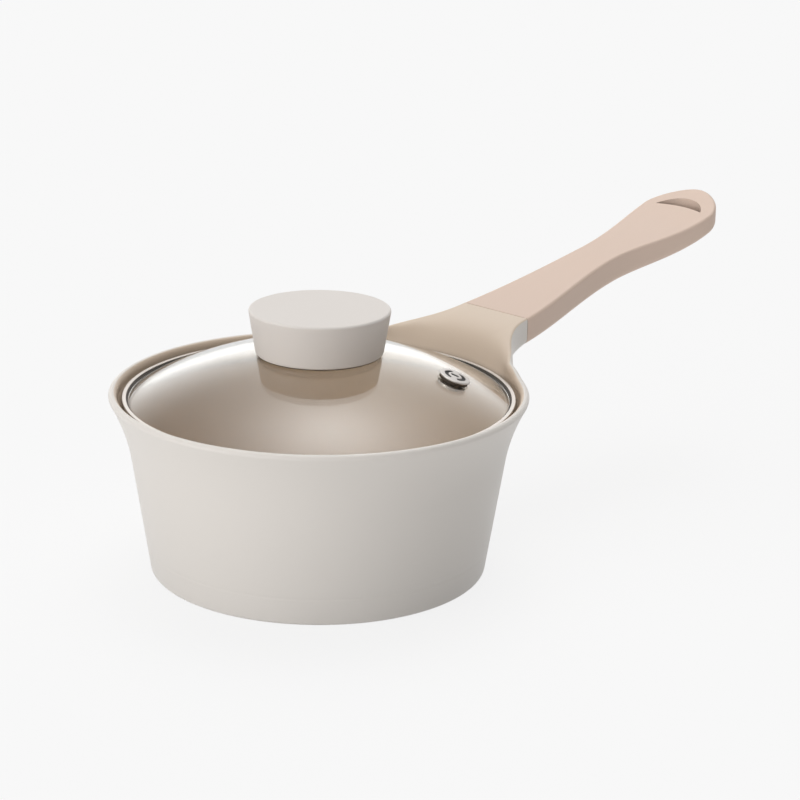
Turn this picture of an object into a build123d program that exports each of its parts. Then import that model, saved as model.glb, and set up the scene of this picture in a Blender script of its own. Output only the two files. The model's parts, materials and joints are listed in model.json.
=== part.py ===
from build123d import *
import os
from math import asin, atan2, cos, degrees, radians, sin, sqrt, tan

# Saucepan with a domed glass lid. Millimetres, +Z up, handle along +X.
# The origin is the centre of the underside of the base.

# Vessel
base_radius = 69.6
wall_lean = 8.9
wall_height = 58.7
wall = 3.2
floor_thickness = 5.0
base_edge_radius = 2.5
floor_corner_radius = 9.0
flare_radius = 30.0
flare_lean = 40.0

# Steel plate pressed into the underside
plate_border = 11.6
plate_thickness = 1.0
plate_fit = 0.05

# Neck, from the rim to the seam where the grip begins
neck_length = 22.2
neck_rise = 11.8
seam_half_width = 18.5
seam_slope = 8.0
root_taper = 0.08
neck_spread = 38.0
neck_inset = 0.3
neck_foot_slope = 27.5
neck_foot_pull = 14.7
neck_head_pull = 14.1
scoop_start_lean = 33.5
scoop_over_rim = 3.2
gusset_width = 16.0
gusset_reach = 25.0
gusset_depth = 20.0
gusset_hollow = 13.0

# Grip, with its distances and heights counted from the seam
waist_along = 69.0
waist_rise = 13.9
waist_half_width = 11.25
dip_along = 106.0
dip_rise = 19.6
shoulder_along = 127.5
shoulder_half_width = 19.45
tip_along = 145.3
tip_rise = 31.8
tip_slope = 27.0
tip_fullness = 0.45
grip_thickness = 12.0
tip_thickness = 9.0
grip_top_edge = 1.2
grip_bottom_edge = 3.0
seam_gap = 0.3

# Crescent slot to hang the pan by
slot_along = 128.0
slot_half_width = 13.0
slot_depth = 8.3
slot_bow = 1.6

# Tang inside the grip, and its screw
tang_length = 62.0
tang_root = 6.0
tang_width = 13.0
tang_thickness = 4.0
tang_cover = 2.6
tang_clearance = 0.2
screw_along = 36.0
screw_radius = 2.4
screw_clearance = 0.15
insert_wall = 1.0
insert_fit = 0.05
seat_wall = 1.6
flat_washer_width = 2.45
flat_washer_thickness = 0.8
lock_washer_width = 1.65
lock_washer_thickness = 0.9
lock_washer_split = 0.8
handle_head_overhang = 2.1
handle_head_height = 1.5
head_edge = 0.6
drive_width = 1.0
drive_length = 5.0
drive_depth = 0.9
counterbore_clearance = 0.4

# Lid rim, which stands in the flare where the flare has the seat's lean
seat_lean = 32.7
lid_clearance = 0.4
band_sheet = 0.6
band_upright = 1.9
band_flange = 1.8
band_skirt = 5.0
band_skirt_lean = 30.5
seal_show = 1.1

# Lid glass
glass_edge_inset = 2.1
glass_edge_drop = 0.9
glass_thickness = 4.0
dome_rise = 21.7

# Knob
knob_bottom_radius = 26.0
knob_top_radius = 29.0
knob_height = 18.3
knob_edge = 0.9
knob_gap = 0.65
knob_top_wall = 3.5
knob_foot_wall = 1.0
ring_seal_width = 4.0
ring_seal_groove = 0.8
ring_seal_land = 2.0
knob_boss_radius = 8.0
boss_gap = 0.3
knob_insert_length = 10.0
knob_head_overhang = 2.0
knob_head_height = 2.6
cup_washer_radius = 10.5
cup_washer_thickness = 0.8
lower_seal_inset = 1.5
lower_seal_thickness = 1.2
glass_bore_clearance = 1.0

# Steam vent
vent_distance = 55.0
vent_bearing = -55.0
vent_tube_radius = 4.2
vent_tube_wall = 0.9
vent_hole_clearance = 0.2
vent_flange_lip = 1.9
vent_flange_thickness = 1.2
vent_flange_edge = 0.7
vent_seal_inset = 0.5
vent_seal_thickness = 0.8
vent_collar_width = 1.6
vent_collar_thickness = 1.0
vent_tail = 0.4
vent_slots = 3
vent_slot_margin = 0.55
vent_slot_width = 1.1
vent_slot_sweep = 70.0

# Worked out from the vessel's sizes
lean = radians(wall_lean)
lip_radius = wall / 2
wall_top_radius = base_radius + wall_height * tan(lean)
flare_centre_r = wall_top_radius + flare_radius * cos(lean)
flare_centre_z = wall_height - flare_radius * sin(lean)
plate_radius = base_radius - plate_border


def flare_point(angle, radius):
    """A point of the flare, seen in section, at a lean from upright."""
    return (
        flare_centre_r - radius * cos(radians(angle)),
        flare_centre_z + radius * sin(radians(angle)),
    )


lip_r, lip_z = flare_point(flare_lean, flare_radius + lip_radius)
rim_radius = lip_r + lip_radius
rim_height = lip_z + lip_radius
inner_corner = flare_point(wall_lean, flare_radius + wall)
inner_foot = inner_corner[0] - (inner_corner[1] - floor_thickness) * tan(lean)

# Worked out for the handle
neck_radius = rim_radius - neck_inset
seam_x = rim_radius + neck_length
seam_z = rim_height + neck_rise
waist_x = seam_x + waist_along
waist_z = seam_z + waist_rise
dip_x = seam_x + dip_along
dip_z = seam_z + dip_rise
shoulder_x = seam_x + shoulder_along
tip_x = seam_x + tip_along
tip_z = seam_z + tip_rise
slot_x = seam_x + slot_along

# Worked out for the lid, which stands in the flare on the corner of its band
seat_r, lid_z = flare_point(seat_lean, flare_radius + wall)
band_radius = seat_r - lid_clearance
glass_edge_radius = band_radius - glass_edge_inset
band_top = lid_z + band_upright
glass_edge_z = lid_z - glass_edge_drop
dome_radius = (glass_edge_radius**2 + dome_rise**2) / (2 * dome_rise)
dome_centre = glass_edge_z + dome_rise - dome_radius
dome_inner_radius = dome_radius - glass_thickness
dome_apex = dome_centre + dome_radius
dome_underside = dome_centre + dome_inner_radius


def dome_height(radius):
    """The height of the glass's outer face at a distance from its axis."""
    return dome_centre + sqrt(dome_radius**2 - radius**2)


knob_z = dome_height(knob_bottom_radius) + knob_gap
boss_z = dome_apex + boss_gap
ring_seal_outer = knob_bottom_radius - knob_foot_wall
ring_seal_inner = ring_seal_outer - ring_seal_width
knob_hollow_radius = ring_seal_inner - ring_seal_land

# Worked out for the screws and their washers
screw_hole = screw_radius + screw_clearance
insert_radius = screw_hole + insert_wall
flat_washer_radius = screw_hole + flat_washer_width
lock_washer_radius = screw_hole + lock_washer_width
lower_seal_radius = cup_washer_radius - lower_seal_inset

# Worked out for the vent
vent_bore = vent_tube_radius - vent_tube_wall
vent_hole = vent_tube_radius + vent_hole_clearance
vent_flange_radius = vent_tube_radius + vent_flange_lip
vent_seal_radius = vent_flange_radius - vent_seal_inset
vent_collar_radius = vent_tube_radius + vent_collar_width
vent_slot_circle = vent_bore - vent_slot_margin - vent_slot_width / 2

# Worked out for the tang, whose axis follows the grip
tang_angle = degrees(atan2(waist_z - seam_z, waist_x - seam_x))
tang_plane = Plane(
    origin=(seam_x, 0, seam_z - tang_cover - tang_thickness / 2),
    x_dir=(cos(radians(tang_angle)), 0, sin(radians(tang_angle))),
    z_dir=(-sin(radians(tang_angle)), 0, cos(radians(tang_angle))),
)


def spin(outline):
    """A solid of revolution about Z from a closed outline of radius and height."""
    return revolve(Plane.XZ * make_face(outline), Axis.Z)


def side_slab(outline, half_width):
    """A side view spread evenly to both sides of the handle's middle plane."""
    return Pos(0, half_width, 0) * extrude(Plane.XZ * outline, 2 * half_width)


def ring(outer, inner, bottom, top):
    """A flat ring about Z."""
    height = top - bottom
    return Pos(0, 0, bottom) * extrude(Circle(outer) - Circle(inner), height)


def disc(radius, bottom, top):
    """A plain cylinder about Z."""
    return Pos(0, 0, bottom) * extrude(Circle(radius), top - bottom)


def split_washer(outer, inner, bottom, top):
    """A lock washer with a slit through one side."""
    slit = Pos(outer / 2, 0, bottom) * extrude(
        Rectangle(outer, lock_washer_split), top - bottom
    )
    return ring(outer, inner, bottom, top) - slit


def slope_vector(angle):
    """A direction in the side view, at an angle up from the horizontal."""
    return (cos(radians(angle)), sin(radians(angle)))


def head_with_cross(radius, height):
    """A screw head below the XY plane, with a cross recess in its lower face."""
    head = disc(radius, -height, 0)
    head = fillet(head.edges().sort_by(Axis.Z)[0], head_edge)
    for turn in (0, 90):
        bar = Rot(0, 0, turn) * Rectangle(drive_length, drive_width)
        head -= Pos(0, 0, -height) * extrude(bar, drive_depth)
    return head


def vessel():
    """The turned part of the casting: floor, wall and flared rim."""
    outer_flare = ThreePointArc(
        (wall_top_radius, wall_height),
        flare_point((wall_lean + flare_lean) / 2, flare_radius),
        flare_point(flare_lean, flare_radius),
    )
    lip_end = (
        lip_r + lip_radius * sin(radians(flare_lean)),
        lip_z + lip_radius * cos(radians(flare_lean)),
    )
    lip = ThreePointArc(outer_flare @ 1, lip_end, flare_point(flare_lean, flare_radius + wall))
    inner_flare = ThreePointArc(
        lip @ 1, flare_point((wall_lean + flare_lean) / 2, flare_radius + wall), inner_corner
    )
    section = make_face(
        [
            Line((0, 0), (base_radius, 0)),
            Line((base_radius, 0), (wall_top_radius, wall_height)),
            outer_flare,
            lip,
            inner_flare,
            Line(inner_corner, (inner_foot, floor_thickness)),
            Line((inner_foot, floor_thickness), (0, floor_thickness)),
            Line((0, floor_thickness), (0, 0)),
        ]
    )
    low_corner = section.vertices().sort_by_distance(Vertex(base_radius, 0, 0))[0]
    section = fillet(low_corner, base_edge_radius)
    foot = section.vertices().sort_by_distance(Vertex(inner_foot, floor_thickness, 0))[0]
    section = fillet(foot, floor_corner_radius)
    return revolve(Plane.XZ * section, Axis.Z)


def on_circle(centre, radius, angle, sign):
    """A point of a circle seen from above, on one side of the handle or the other."""
    return (
        centre[0] + radius * cos(radians(angle)),
        sign * (centre[1] + radius * sin(radians(angle))),
    )


def neck_plan():
    """The neck from above: the rim, a hollow curve on each side, and the seam."""
    reach = seam_x**2 + seam_half_width**2 - neck_radius**2
    curve = reach / (2 * (neck_radius - seam_half_width))
    centre = (seam_x, seam_half_width + curve)
    leave_rim = degrees(atan2(centre[1], centre[0]))
    touch_rim = leave_rim + 180
    touch_seam = 270
    lines = [Line((seam_x, seam_half_width), (seam_x, -seam_half_width))]
    for sign in (1, -1):
        start = on_circle((0, 0), neck_radius, neck_spread, sign)
        middle = on_circle((0, 0), neck_radius, (neck_spread + leave_rim) / 2, sign)
        meet = on_circle((0, 0), neck_radius, leave_rim, sign)
        hollow = on_circle(centre, curve, (touch_rim + touch_seam) / 2, sign)
        lines += [
            Line((0, 0), start),
            ThreePointArc(start, middle, meet),
            ThreePointArc(meet, hollow, (seam_x, sign * seam_half_width)),
        ]
    return make_face(lines)


def neck_side():
    """The neck from the side, rising from the rim to the top of the grip."""
    start = (neck_radius * cos(radians(neck_spread)), lip_z)
    climb = slope_vector(neck_foot_slope)
    rise = slope_vector(seam_slope)
    top = Bezier(
        start,
        (start[0] + neck_foot_pull * climb[0], start[1] + neck_foot_pull * climb[1]),
        (seam_x - neck_head_pull * rise[0], seam_z - neck_head_pull * rise[1]),
        (seam_x, seam_z),
    )
    low_end = (seam_x, seam_z - grip_thickness)
    return make_face([top, Line(top @ 1, low_end), Line(low_end, start)])


def scoop():
    """What is hollowed from the neck: the flare's inside, carried out to the seam."""
    start = flare_point(scoop_start_lean, flare_radius + wall)
    upright = radians(90 - scoop_start_lean)
    rise = slope_vector(seam_slope)
    curve = Spline(
        start,
        (rim_radius, rim_height + scoop_over_rim),
        (seam_x, seam_z),
        tangents=((cos(upright), sin(upright)), rise),
    )
    past = (seam_x + grip_thickness * rise[0], seam_z + grip_thickness * rise[1])
    above = seam_z + 2 * grip_thickness
    return spin(
        [
            Line((0, start[1]), start),
            curve,
            Line(curve @ 1, past),
            Line(past, (past[0], above)),
            Line((past[0], above), (0, above)),
            Line((0, above), (0, start[1])),
        ]
    )


def gusset():
    """A rib under the neck that carries its load into the wall."""
    top_z = lip_z + lip_radius
    low_z = lip_z - gusset_depth
    foot_x = base_radius + low_z * tan(lean) - wall / 2
    outer_x = foot_x + gusset_reach
    hollow = Bezier(
        (outer_x, lip_z),
        (outer_x - gusset_hollow, lip_z),
        (foot_x + wall, low_z + gusset_hollow),
        (foot_x, low_z),
    )
    outline = [
        Line((foot_x, top_z), (outer_x, top_z)),
        Line((outer_x, top_z), (outer_x, lip_z)),
        hollow,
        Line((foot_x, low_z), (foot_x, top_z)),
    ]
    return side_slab(make_face(outline), gusset_width / 2)


def tang(clearance):
    """The bar inside the grip, rooted in the neck, or the socket for it."""
    bar = Box(
        tang_root + tang_length + clearance,
        tang_width + 2 * clearance,
        tang_thickness + 2 * clearance,
        align=(Align.MIN, Align.CENTER, Align.CENTER),
    )
    return tang_plane * Pos(-tang_root, 0, 0) * bar


def cavity():
    """The inside of the vessel up to the scoop, to clear anything added in it."""
    top = flare_point(scoop_start_lean, flare_radius + wall)
    middle = flare_point((wall_lean + scoop_start_lean) / 2, flare_radius + wall)
    clear_z = floor_thickness + floor_corner_radius
    clear_r = inner_foot + floor_corner_radius * tan(lean)
    return spin(
        [
            Line((0, clear_z), (clear_r, clear_z)),
            Line((clear_r, clear_z), inner_corner),
            ThreePointArc(inner_corner, middle, top),
            Line(top, (0, top[1])),
            Line((0, top[1]), (0, clear_z)),
        ]
    )


def pan_body():
    """The casting: vessel, scooped neck, gusset and tang."""
    blank = extrude(neck_plan(), seam_z + grip_thickness)
    blank &= side_slab(neck_side(), rim_radius)
    body = vessel() + (blank + gusset() - scoop() - cavity()) + tang(0)
    body -= disc(plate_radius + plate_fit, 0, plate_thickness)
    body -= tang_plane * Pos(screw_along, 0, 0) * Cylinder(
        insert_radius + insert_fit, 2 * tang_thickness
    )
    return body


def smooth_run(start, start_slope, end, end_slope):
    """A curve between two points with a given slope at each."""
    third = (end[0] - start[0]) / 3
    return Bezier(
        start,
        (start[0] + third, start[1] + third * start_slope),
        (end[0] - third, end[1] - third * end_slope),
        end,
    )


def grip_outline():
    """The grip from above: narrow waist, broad rounded end."""
    start_x = seam_x + seam_gap
    lines = [Line((start_x, seam_half_width), (start_x, -seam_half_width))]
    for sign in (1, -1):
        root = (start_x, sign * seam_half_width)
        waist = (waist_x, sign * waist_half_width)
        shoulder = (shoulder_x, sign * shoulder_half_width)
        end_pull = (tip_x - shoulder_x) * tip_fullness
        side_pull = shoulder_half_width * tip_fullness
        end = Bezier(
            shoulder,
            (shoulder_x + end_pull, shoulder[1]),
            (tip_x, sign * side_pull),
            (tip_x, 0),
        )
        lines += [
            smooth_run(root, -sign * root_taper, waist, 0),
            smooth_run(waist, 0, shoulder, 0),
            end,
        ]
    return make_face(lines)


def grip_line(drop_seam, drop_dip, drop_tip):
    """The grip's top line from the side, or a line at some depth below it."""
    return Spline(
        (seam_x + seam_gap, seam_z - drop_seam),
        (waist_x, waist_z - drop_seam),
        (dip_x, dip_z - drop_dip),
        (tip_x, tip_z - drop_tip),
        tangents=(slope_vector(seam_slope), slope_vector(tip_slope)),
    )


def grip_side():
    """The grip from the side: it climbs, levels out and turns up at the end."""
    top = grip_line(0, 0, 0)
    bottom = grip_line(grip_thickness, (grip_thickness + tip_thickness) / 2, tip_thickness)
    return make_face([top, bottom, Line(top @ 0, bottom @ 0), Line(top @ 1, bottom @ 1)])


def crescent():
    """The hanging slot from above."""
    left = (slot_x, -slot_half_width)
    right = (slot_x, slot_half_width)
    far = ThreePointArc(left, (slot_x + slot_depth, 0), right)
    near = ThreePointArc(left, (slot_x + slot_bow, 0), right)
    return make_face([far, near])


def rounded(grip):
    """The grip with its long upper and lower edges rounded."""
    for place, radius in ((-1, grip_top_edge), (0, grip_bottom_edge)):
        seam_edges = grip.faces().sort_by(Axis.X)[0].edges()
        broad_faces = grip.faces().sort_by(SortBy.AREA)[-2:]
        face_edges = broad_faces.sort_by(Axis.Z)[place].edges()
        long_edges = [
            edge
            for edge in grip.edges()
            if any(edge.is_same(other) for other in face_edges)
            and not any(edge.is_same(other) for other in seam_edges)
        ]
        grip = fillet(long_edges, radius).solid()
    return grip


def handle_grip():
    """The moulded grip, with its socket, screw seat and hanging slot."""
    grip = extrude(grip_outline(), tip_z + grip_thickness)
    grip &= side_slab(grip_side(), 2 * shoulder_half_width)
    grip = rounded(grip.solid())
    grip -= extrude(crescent(), tip_z + grip_thickness)
    grip -= tang(tang_clearance)
    seat = screw_seat()
    bore = Cylinder(screw_hole, grip_thickness, align=(Align.CENTER, Align.CENTER, Align.MAX))
    pocket = Cylinder(
        flat_washer_radius + counterbore_clearance,
        grip_thickness,
        align=(Align.CENTER, Align.CENTER, Align.MAX),
    )
    grip -= tang_plane * Pos(screw_along, 0, 0) * bore
    grip -= tang_plane * Pos(screw_along, 0, seat) * pocket
    return grip


def screw_seat():
    """How far below the tang's axis the screw's washers bear on the grip."""
    return -tang_thickness / 2 - tang_clearance - seat_wall


def handle_screw():
    """The screw that holds the grip to the tang, from below."""
    head_top = screw_seat() - flat_washer_thickness - lock_washer_thickness
    head_radius = screw_radius + handle_head_overhang
    head = Pos(0, 0, head_top) * head_with_cross(head_radius, handle_head_height)
    shank = disc(screw_radius, head_top, tang_thickness / 2)
    return tang_plane * Pos(screw_along, 0, 0) * (head + shank)


def handle_flat_washer():
    """The flat washer on the grip's seat."""
    seat = screw_seat()
    washer = ring(flat_washer_radius, screw_hole, seat - flat_washer_thickness, seat)
    return tang_plane * Pos(screw_along, 0, 0) * washer


def handle_lock_washer():
    """The split washer under the screw head."""
    top = screw_seat() - flat_washer_thickness
    washer = split_washer(lock_washer_radius, screw_hole, top - lock_washer_thickness, top)
    return tang_plane * Pos(screw_along, 0, 0) * washer


def tang_insert():
    """The steel thread insert in the tang."""
    half = tang_thickness / 2
    return tang_plane * Pos(screw_along, 0, 0) * ring(insert_radius, screw_hole, -half, half)


def induction_plate():
    """The steel disc in the underside of the base."""
    return disc(plate_radius, 0, plate_thickness)


def vent_plane():
    """The vent's own plane, on the glass and square to it."""
    tilt = asin(vent_distance / dome_radius)
    bearing = radians(vent_bearing)
    out = (sin(tilt) * cos(bearing), sin(tilt) * sin(bearing), cos(tilt))
    across = (-sin(bearing), cos(bearing), 0)
    at = [dome_radius * part for part in out]
    return Plane(origin=(at[0], at[1], at[2] + dome_centre), x_dir=across, z_dir=out)


def lid_glass():
    """The domed glass, with a hole for the knob's screw and one for the vent."""
    bore = screw_radius + glass_bore_clearance
    edge_angle = asin(glass_edge_radius / dome_radius)
    shell = Pos(0, 0, dome_centre) * (Sphere(dome_radius) - Sphere(dome_inner_radius))
    cone_height = 2 * dome_radius
    keep = Pos(0, 0, dome_centre) * Cone(
        0, cone_height * tan(edge_angle), cone_height, align=(Align.CENTER, Align.CENTER, Align.MIN)
    )
    glass = shell & keep
    glass -= disc(bore, 0, 2 * dome_apex)
    glass -= vent_plane() * Cylinder(vent_hole, 4 * glass_thickness)
    return glass.solid()


def band_path(inset):
    """The band in section: flange, upright and leaning skirt, at a depth inside."""
    skirt_lean = radians(band_skirt_lean)
    side = band_radius - inset
    corner = (side, lid_z + inset * tan(skirt_lean / 2))
    foot = (
        corner[0] - band_skirt * sin(skirt_lean),
        corner[1] - band_skirt * cos(skirt_lean),
    )
    return [(band_radius - band_flange, band_top - inset), (side, band_top - inset), corner, foot]


def lid_rim_band():
    """The rolled steel band round the glass."""
    outer = band_path(0)
    inner = band_path(band_sheet)
    return spin(Polyline(*outer, *reversed(inner), close=True))


def lid_rim_seal(glass, band):
    """The strip that fills the band round the edge of the glass."""
    inner = band_path(band_sheet)
    show_r = band_radius - band_flange - seal_show
    foot = inner[3]
    outline = Polyline(
        (show_r, inner[1][1]),
        inner[1],
        inner[2],
        foot,
        (foot[0] - band_sheet, foot[1]),
        (show_r, glass_edge_z),
        close=True,
    )
    strip = spin(outline) - glass - band
    return strip.solids().sort_by(SortBy.VOLUME)[-1]


def knob_cap():
    """The moulded knob, hollow underneath round a central boss."""
    top = knob_z + knob_height
    outer = spin(
        Polyline(
            (0, knob_z), (knob_bottom_radius, knob_z), (knob_top_radius, top), (0, top), close=True
        )
    )
    rims = outer.edges().filter_by(GeomType.CIRCLE).sort_by(Axis.Z)
    outer = fillet([rims[0], rims[-1]], knob_edge)
    outer -= ring(knob_hollow_radius, knob_boss_radius, knob_z, top - knob_top_wall)
    outer -= ring(ring_seal_outer, ring_seal_inner, knob_z, knob_z + ring_seal_groove)
    outer -= disc(knob_boss_radius, knob_z, boss_z)
    outer -= disc(insert_radius, boss_z, boss_z + knob_insert_length)
    outer -= disc(screw_hole, boss_z, boss_z + knob_insert_length + boss_gap)
    outer -= Pos(0, 0, dome_centre) * Sphere(dome_radius + knob_gap)
    return outer.solid()


def knob_upper_seal():
    """The soft ring between knob and glass."""
    low = dome_height(ring_seal_outer) - knob_gap
    ring_seal = ring(ring_seal_outer, ring_seal_inner, low, knob_z + ring_seal_groove)
    below = Pos(0, 0, dome_centre) * Sphere(dome_radius)
    return (ring_seal - below).solid()


def knob_insert():
    """The threaded brass insert in the knob's boss."""
    return ring(insert_radius, screw_hole, boss_z, boss_z + knob_insert_length)


def knob_screw_base():
    """The height of the screw head's bearing face, under the glass."""
    return dome_underside - lower_seal_thickness - cup_washer_thickness - lock_washer_thickness


def knob_screw():
    """The screw that holds the knob, from under the glass."""
    base = knob_screw_base()
    head_radius = screw_radius + knob_head_overhang
    head = Pos(0, 0, base) * head_with_cross(head_radius, knob_head_height)
    return head + disc(screw_radius, base, boss_z + knob_insert_length)


def knob_lock_washer():
    """The split washer under the screw head."""
    base = knob_screw_base()
    return split_washer(lock_washer_radius, screw_hole, base, base + lock_washer_thickness)


def knob_cup_washer():
    """The steel washer under the glass."""
    base = knob_screw_base() + lock_washer_thickness
    return ring(cup_washer_radius, screw_hole, base, base + cup_washer_thickness)


def knob_lower_seal():
    """The soft washer between the steel washer and the glass."""
    base = dome_underside - lower_seal_thickness
    washer = ring(lower_seal_radius, screw_hole, base, dome_underside)
    inside = Pos(0, 0, dome_centre) * Sphere(dome_inner_radius)
    return (washer & inside).solid()


def vent_eyelet():
    """The steel vent: a slotted disc on a tube through the glass."""
    tail = glass_thickness + vent_collar_thickness + vent_tail
    flange_top = vent_seal_thickness + vent_flange_thickness
    vent = disc(vent_flange_radius, vent_seal_thickness, flange_top)
    vent = fillet(vent.edges().sort_by(Axis.Z)[-1], vent_flange_edge)
    vent += ring(vent_tube_radius, vent_bore, -tail, vent_seal_thickness)
    arc = CenterArc((0, 0), vent_slot_circle, -vent_slot_sweep / 2, vent_slot_sweep)
    slot = extrude(SlotArc(arc, vent_slot_width), flange_top)
    for number in range(vent_slots):
        vent -= Rot(0, 0, 360 * number / vent_slots) * slot
    return vent_plane() * vent


def vent_seal():
    """The soft washer between the vent's disc and the glass."""
    washer = ring(vent_seal_radius, vent_hole, -vent_seal_thickness, vent_seal_thickness)
    below = Pos(0, 0, dome_centre) * Sphere(dome_radius)
    return (vent_plane() * washer - below).solid()


def vent_collar():
    """The ring that clamps the vent under the glass."""
    inner = vent_tube_radius + vent_hole_clearance / 2
    bottom = -glass_thickness - vent_collar_thickness
    collar = vent_plane() * ring(vent_collar_radius, inner, bottom, -glass_thickness / 2)
    inside = Pos(0, 0, dome_centre) * Sphere(dome_inner_radius)
    return (collar & inside).solid()


glass_part = lid_glass()
band_part = lid_rim_band()
parts = {
    "pan_body": pan_body(),
    "induction_plate": induction_plate(),
    "handle_grip": handle_grip(),
    "tang_insert": tang_insert(),
    "handle_screw": handle_screw(),
    "handle_flat_washer": handle_flat_washer(),
    "handle_lock_washer": handle_lock_washer(),
    "lid_glass": glass_part,
    "lid_rim_band": band_part,
    "lid_rim_seal": lid_rim_seal(glass_part, band_part),
    "knob_cap": knob_cap(),
    "knob_upper_seal": knob_upper_seal(),
    "knob_insert": knob_insert(),
    "knob_screw": knob_screw(),
    "knob_lock_washer": knob_lock_washer(),
    "knob_cup_washer": knob_cup_washer(),
    "knob_lower_seal": knob_lower_seal(),
    "vent_eyelet": vent_eyelet(),
    "vent_seal": vent_seal(),
    "vent_collar": vent_collar(),
}

os.makedirs("parts", exist_ok=True)
for name, part in parts.items():
    export_step(part, f"parts/{name}.step")
print(f"rim {2 * rim_radius:.1f} across and {rim_height:.1f} high, lid seat at {lid_z:.1f}")
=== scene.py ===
"""A small flared saucepan with a glass lid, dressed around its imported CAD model.

Metres, +Z up, the handle along +X, the origin at the centre of the underside of the base.
Leans are degrees from upright, slopes degrees from level and bearings degrees from +X.
"""

import json
import math
from typing import NamedTuple

import bpy
import numpy as np
from mathutils import Matrix, Vector


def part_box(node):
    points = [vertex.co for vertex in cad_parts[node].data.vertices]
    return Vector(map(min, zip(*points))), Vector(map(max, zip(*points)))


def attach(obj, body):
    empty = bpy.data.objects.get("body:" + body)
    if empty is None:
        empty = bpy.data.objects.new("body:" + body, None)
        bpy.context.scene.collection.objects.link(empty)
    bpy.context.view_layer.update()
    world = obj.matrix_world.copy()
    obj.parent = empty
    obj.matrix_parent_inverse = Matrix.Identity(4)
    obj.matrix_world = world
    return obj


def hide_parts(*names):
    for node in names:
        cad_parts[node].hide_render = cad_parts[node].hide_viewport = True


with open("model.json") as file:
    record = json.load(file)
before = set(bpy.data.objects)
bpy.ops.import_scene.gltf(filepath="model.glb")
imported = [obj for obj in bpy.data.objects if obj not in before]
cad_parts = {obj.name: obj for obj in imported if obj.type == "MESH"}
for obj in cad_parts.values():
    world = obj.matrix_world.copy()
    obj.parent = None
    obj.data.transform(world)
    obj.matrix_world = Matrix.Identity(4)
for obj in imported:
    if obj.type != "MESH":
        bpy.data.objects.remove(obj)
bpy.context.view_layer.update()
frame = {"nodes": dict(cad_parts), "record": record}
mm = 0.001

# Camera, from a fit to the rim, the base and the knob in the photograph
camera_distance = 0.9907
camera_bearing = -135.0
camera_height = 0.38673
view_bearing = 43.095
view_drop = 17.676
view_roll = 0.9624
lens_mm = 114.638
sensor_mm = 36.0

# Vessel
base_radius = 69.6 * mm
base_edge = 1.5 * mm
wall_lean = 8.9
wall_height = 58.7 * mm
wall = 3.2 * mm
wall_trim = 0.45 * mm  # how far the outside lies within the solid's
floor_thickness = 5.0 * mm
floor_corner = 9.0 * mm
flare_radius = 30.0 * mm
flare_lean = 39.2
flare_foot = 48.0 * mm  # the height where the outside leaves the straight wall
under_lip_lean = 29.0  # of the outside where it meets the lip
rim_lean = 42.0  # of the inside where the lip's roll begins
plate_clearance = 0.05 * mm
recess_chamfer = 0.3 * mm

# Seat inside the rim, in which the edge of the lid lies
seat_depth = 1.25 * mm
seat_start = 24.0  # the flare's lean where the seat begins
seat_blend = 6.0  # the change of lean in which it gets its depth
seat_rise = 78.0  # the slope that leads out of it

# Faint turned line near the foot, shaped by shares of its half width and of its depth
groove_height = 11.6 * mm
groove_half_width = 0.9 * mm
groove_depth = 0.09 * mm
groove_shape = ((1.0, 0.0), (0.6, 0.3), (0.35, 0.9), (0.0, 1.0), (-0.35, 0.9), (-0.6, 0.3), (-1.0, 0.0))

# Neck
neck_start = 42.0  # the bearing where the plain rim ends
mouth_lean = 33.5  # the flare's lean where the scoop begins
foot_bearing = 38.0  # the bearing where the edge begins to climb
foot_slope = 27.5
foot_pull = 14.7 * mm
head_pull = 14.1 * mm
seam_slope = 8.0
seam_rise = 12.14 * mm
seam_half_width = 18.5 * mm
seam_gap = 0.3 * mm
seam_edge = 0.4 * mm
waist_fill = 2.1 * mm
waist_skew = 0.576  # under 1 puts the most of the fill nearer to the rim
under_sag = 2.4 * mm
under_skew = 1.5  # over 1 puts the most of the sag nearer to the grip
grip_thickness = 12.0 * mm
grip_top_edge = 1.2 * mm
grip_bottom_edge = 3.0 * mm

# Pulls of the inside's curve, as shares of its length
plain_reach = 1 / 3
mouth_reach = 0.469
seam_reach = 0.457

# Edge of the pan: turns over the lip from outward, and lengths in which the rim becomes the neck
roll_end = 12.0
tuck_start = -10.0
rim_coat_turn = 114.0
neck_coat_turn = 35.0
coat_fade = 24.0
coat_blend = 8.0 * mm
lip_blend = 0.8 * mm
climb_blend = 7.0 * mm
leave_blend = 10.0 * mm
join_blend = 6.0 * mm

# Gusset and tang under the neck
gusset_width = 26.0 * mm
gusset_drop = 20.0 * mm
gusset_reach = 25.0 * mm
gusset_pull = 13.0 * mm
gusset_bulge = 4.5 * mm
gusset_hang = 1.2 * mm
gusset_root = wall / 2  # how deep its two ends lie in the metal
gusset_corner_lift = wall / 4
gusset_back = wall / 8
tang_width = 13.0 * mm
tang_thickness = 4.0 * mm
tang_length = 62.0 * mm
tang_root = 6.0 * mm
tang_depth = 2.6 * mm
tang_tilt = 11.4

# Lid glass and its edge
dome_radius = 157.3 * mm
glass_thickness = 4.0 * mm
glass_bore = 3.5 * mm
band_sheet = 0.5 * mm
band_lowering = 0.8 * mm
band_corner = 0.3 * mm
flange_width = 1.65 * mm
knee_drop = 1.9 * mm
skirt_lean = 30.5
seal_show = 0.6 * mm
seal_depth = 2.1 * mm
seal_proud = 0.25 * mm

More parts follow.
